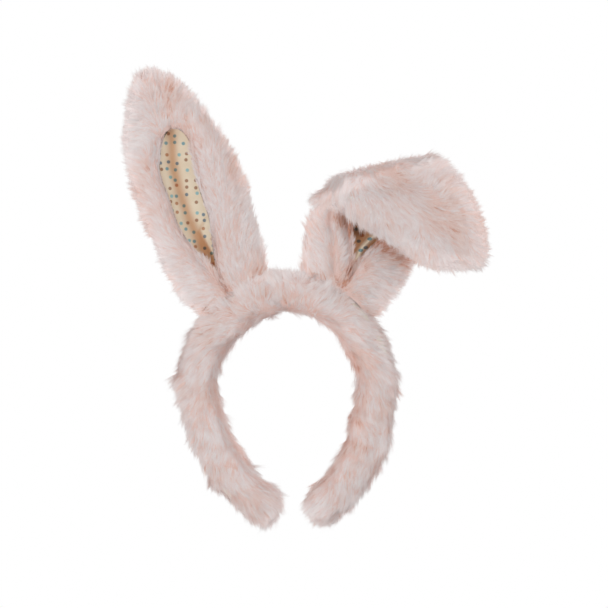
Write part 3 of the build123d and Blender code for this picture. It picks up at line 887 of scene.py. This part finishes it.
def lining_object(ear, part, name, rows=150, cols=45):
    """Printed cotton behind the slit, with a long soft crease and a second fold at its foot, and painted
    shade in its folds and hollows.
    """
    c = np.linspace(-1, 1, cols)[None]
    w0, w1 = np.full(cols, LINING_LOW), np.full(cols, LINING_HIGH)
    if part != "whole":
        fold = FOLD_HEIGHT + ear.side * c[0] * LINING_AT_FOLD * math.tan(FOLD_SLANT)
        if part == "lower":
            w1 = fold
        else:
            w0 = fold
    w = w0 + (w1 - w0) * np.linspace(0, 1, rows)[:, None]
    side = ear.side
    gap = slit_half(w, side)
    u = slit_middle(w, side) + c * (gap + LINING_SEAM)
    # the crease runs from the top, along the bulge, to the slit's foot
    crease_at = 0.0010 + 0.0065 * np.sin(math.pi * np.clip((w - 0.010) / 0.112, 0, 1))
    crease_at = side * crease_at - side * 0.004 * smooth(w, 0.1, 0.13)
    crease = bump(u - crease_at, 0.0042)
    # a facet folds over beside the slit's foot; its edge runs up steeply, then turns out to the slit's edge
    facet_edge = -0.0031 + np.where(w < 0.050, 0.11 * (0.050 - w), 1.03 * (w - 0.050))
    facet = smooth(u - facet_edge, 0.0, 0.0010) * smooth(-w, -0.062, -0.058) * (side < 0)
    in_shade = bump(u - facet_edge + 0.0012, 0.0016) * smooth(-w, -0.062, -0.056) * (side < 0)
    open_here = smooth(gap, 0.001, 0.008)
    z = -0.0004 - 0.0016 * (1 - np.abs(c) ** 3) * open_here - 0.0020 * crease * open_here
    z = z + 0.0012 * facet - 0.0006 * in_shade + 0.0003 * np.sin(w / 0.009 + 2 * c)
    # painted shade, kept in the crease attribute: darker along the crease, towards the foot, at the sides and
    # just beside the facet's edge; lighter on the raised facet
    shade = 0.40 * crease + 0.27 * smooth(-w, -0.056, -0.018) + 0.12 * smooth(np.abs(c) + 0 * w, 0.55, 0.95)
    shade = shade * (1 - 0.72 * facet) + 0.16 * in_shade
    if part == "lower":  # pinched by the fold: one cream pleat stands up beside a hollow, with painted shade on all but the pleat, darkest in the hollow
        pleat_at = slit_middle(w, side) + gap * (0.10 + 0.55 * smooth(w, 0.028, 0.048))
        pleat = bump(u - pleat_at, 0.0021)
        hollow = smooth(w, 0.036, 0.047) * (1 - smooth(c + 0 * w, -0.30, 0.15))
        z = -0.0030 + 0.0044 * pleat - 0.0022 * hollow
        shade = 0.62 * (1 - pleat) + 0.6 * hollow
    points = ear_shape(ear, part, u, w, z)
    mesh = grid_mesh(name, points, uv=np.stack([u + 0 * w, w + 0 * u], -1))
    # the painted shade goes to the material as the crease attribute
    attribute = mesh.attributes.new("crease", "FLOAT", "POINT")
    attribute.data.foreach_set("value", np.clip(shade, 0, 1).astype(np.float32).ravel())
    return new_object(name, mesh, [COTTON])


def wadding_object(ear, part, name):
    """The soft filling between the lining and the back cloth: a thin crowned pad."""
    _, w, _, kind, sign, s = ear_grid(ear, part, 60)
    pad = half_width(w, STUFFING_INSET)
    front = kind != "back"
    deep = puff_at(w)
    shift = np.where(front, np.clip(s, 0, 1), s) * sign * pad
    if part != "whole":
        at_fold = FOLD_HEIGHT + shift * math.tan(FOLD_SLANT)
        below, above = np.minimum(w, at_fold - FOLD_CLEAR), np.maximum(w, at_fold + FOLD_CLEAR)
        w = below if part == "lower" else above
    rise = np.sqrt(np.maximum(1 - (shift / pad) ** 4, 0))
    z = deep * np.where(front, -0.66 + 0.04 * rise, -0.66 - 0.15 * rise)
    points = ear_shape(ear, part, shift, w, z)
    return new_object(name, grid_mesh(name, points), [WADDING])


def wire_object(ear, part, name, radius=0.0008, rows=120):
    """The bendable wire inside the ear's edge."""
    w = np.concatenate([np.linspace(WIRE_LOW, WIRE_HIGH, rows), np.linspace(WIRE_HIGH, WIRE_LOW, rows)])
    u = np.concatenate([-np.ones(rows), np.ones(rows)]) * half_width(w, WIRE_INSET)
    keep = np.ones(len(w), bool)
    if part != "whole":
        _, past = fold_frame(u, w)
        keep = past < -FOLD_CLEAR if part == "lower" else past > FOLD_CLEAR
    runs = np.flatnonzero(np.diff(np.concatenate([[0], keep.astype(int), [0]])))
    made = []
    for number, (first, last) in enumerate(zip(runs[::2], runs[1::2])):
        line = ear_shape(ear, part, u[first:last], w[first:last], 0 * w[first:last])
        made.append(tube(f"{name}_{number}", line, radius, [WIRE]))
    return joined(made, name)


def tube(name, line, radius, materials, sides=8):
    """A closed tube of quads along a line of points."""
    along = unit(np.gradient(line, axis=0))
    a = unit(np.cross(along, np.array([0, 1.0, 0])))
    b = np.cross(along, a)
    angle = np.linspace(0, 2 * math.pi, sides + 1)[:-1]
    ring = np.cos(angle)[None, :, None] * a[:, None] + np.sin(angle)[None, :, None] * b[:, None]
    points = line[:, None] + ring * radius
    ends = np.stack([np.repeat(line[:1], sides, 0), np.repeat(line[-1:], sides, 0)])
    points = np.concatenate([ends[:1], points, ends[1:]])
    return new_object(name, grid_mesh(name, points, closed=True), materials)


def joined(objects, name):
    """Several objects as one."""
    bpy.ops.object.select_all(action="DESELECT")
    for piece in objects:
        piece.select_set(True)
    bpy.context.view_layer.objects.active = objects[0]
    if len(objects) > 1:
        bpy.ops.object.join()
    objects[0].name = name
    return objects[0]


def edging_object(ear, part, name, rows=90, radius=0.0005):
    """A thin dark edge up each side of the slit, whose darkness also paints the shadow line at the slit's
    edge.
    """
    made = []
    for sign in (-1, 1):
        low, top = BINDING_LOW, BINDING_HIGH
        if part != "whole":
            across = slit_middle(FOLD_HEIGHT, ear.side) + sign * BINDING_AT_FOLD
            at_fold = FOLD_HEIGHT + ear.side * math.tan(FOLD_SLANT) * across
            low, top = (low, at_fold) if part == "lower" else (at_fold, top)
        w = np.linspace(low, top, rows)
        u = slit_middle(w, ear.side) + sign * (slit_half(w, ear.side) - BINDING_INSET)
        line = ear_shape(ear, part, u, w, BINDING_FRONT + 0 * w)
        made.append(tube(f"{name}_{sign + 1}", line, radius, [EDGING], 6))
    return joined(made, name)


def roll_coat(ear):
    """The elbow at the right ear's fold: the cloth's whole section there, carried along the roll."""
    u, w, z, kind, _, ends_share = ear_grid(ear, "lower", 3)
    share = np.linspace(-0.01, 1.01, 30)[:, None]
    ends = [field[-1:] + 0 * share for field in (u, w, z)]
    points = laid_flat(ear, "fold", *ends, share)
    outwards = np.sign(ends[0]) * smooth(np.abs(ends[0]), 0.001, 0.020)
    coat = Coat(points, unit(np.gradient(points, axis=0)) * 0.4 + outwards[..., None] * ear.fold_along * 0.7)
    is_back = kind == "back"
    if np.sum(coat.normals[:, is_back][..., 1]) < 0:
        coat.normals = -coat.normals
    coat.density = np.where(is_back, 1.0, 0.0) + 0 * coat.density
    coat.tone = ear_tone(points)
    coat.lift = coat.lift + 0.04
    coat.density[:, ~is_back & (np.abs(ends_share) > 0.35)] = 0.8  # and none close to the slit
    return coat


def right_ear():
    """The folded ear: a rigid part on each side of the fold, and the roll between them."""
    ear = Ear(1)
    for part, body in (("lower", "right_ear"), ("upper", "right_ear_tip")):
        for piece in ear_pieces(ear, part, 90, RIGHT_EAR_STRANDS, (51, 53)):
            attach(piece, body)
    coat = roll_coat(ear)
    skin = skin_object("right_ear_cloth_fold", ear.bend(coat.points))
    fur = grow("right_ear_fur_fold", coat, int(FOLD_STRANDS * FUR_SHARE), 57, ear.bend)
    for piece in (skin, fur):
        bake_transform(piece)


band()
left_ear()
right_ear()

# the CAD nodes that no piece above stands for
SHOWN_CAD = {"core": CORE, "stitch": THREAD, "padding": FOAM}
for name, cad in frame["nodes"].items():
    for word, material in SHOWN_CAD.items():
        if word in name:
            cad.data.materials.clear()
            cad.data.materials.append(material)

# ------------------------ camera, light and stage
METRES_PER_PIXEL = 0.00074
PICTURE_SIDE = 608
SENSOR = 36
CAMERA_FAR = 1.5
ROLL = math.radians(2.3)
VIEW_CENTRE = Vector((0.0141, 0.0, 0.0572))

camera_data = bpy.data.cameras.new("camera")
camera_data.sensor_width = SENSOR
camera_data.lens = SENSOR * CAMERA_FAR / (METRES_PER_PIXEL * PICTURE_SIDE)
camera = bpy.data.objects.new("camera", camera_data)
bpy.context.scene.collection.objects.link(camera)
camera.matrix_world = (
    Matrix.Translation(VIEW_CENTRE + Vector((0, -CAMERA_FAR, 0)))
    @ Matrix.Rotation(math.radians(90), 4, "X")
    @ Matrix.Rotation(-ROLL, 4, "Z")
)
bpy.context.scene.camera = camera


def area_light(name, place, size, power):
    """A white rectangular light that faces the middle of the view."""
    data = bpy.data.lights.new(name, "AREA")
    data.shape = "RECTANGLE"
    data.size, data.size_y = size
    data.energy = power
    light = bpy.data.objects.new(name, data)
    light.location = place
    light.rotation_euler = (VIEW_CENTRE - Vector(place)).to_track_quat("-Z", "Y").to_euler()
    bpy.context.scene.collection.objects.link(light)


area_light("key", (1.0, -1.4, 1.05), (1.2, 1.0), 8.8)
area_light("front", (-0.9, -1.6, -0.35), (1.6, 1.2), 16.2)
area_light("back_high", (0.6, 1.5, 0.9), (1.4, 1.2), 12.5)
area_light("back_low", (-0.8, 1.4, -0.3), (1.4, 1.2), 10.6)

WORLD_LIGHT = 0.445  # what the white world gives as light, while the camera sees it as plain white
world = bpy.data.worlds.new("studio")
bpy.context.scene.world = world
world.use_nodes = True
world_nodes, world_links = world.node_tree.nodes, world.node_tree.links
seen = world_nodes["Background"]
seen.inputs["Color"].default_value = (1, 1, 1, 1)
seen.inputs["Strength"].default_value = 1.0
lit = node(world_nodes, "ShaderNodeBackground", Color=(1, 1, 1, 1), Strength=WORLD_LIGHT)
ray = node(world_nodes, "ShaderNodeLightPath")
either = node(world_nodes, "ShaderNodeMixShader")
connect(world_links, [
    (ray, "Is Camera Ray", either, 0),
    (lit, 0, either, 1),
    (seen, 0, either, 2),
    (either, 0, world_nodes["World Output"], "Surface"),
])

bpy.context.scene.view_settings.view_transform = "Standard"
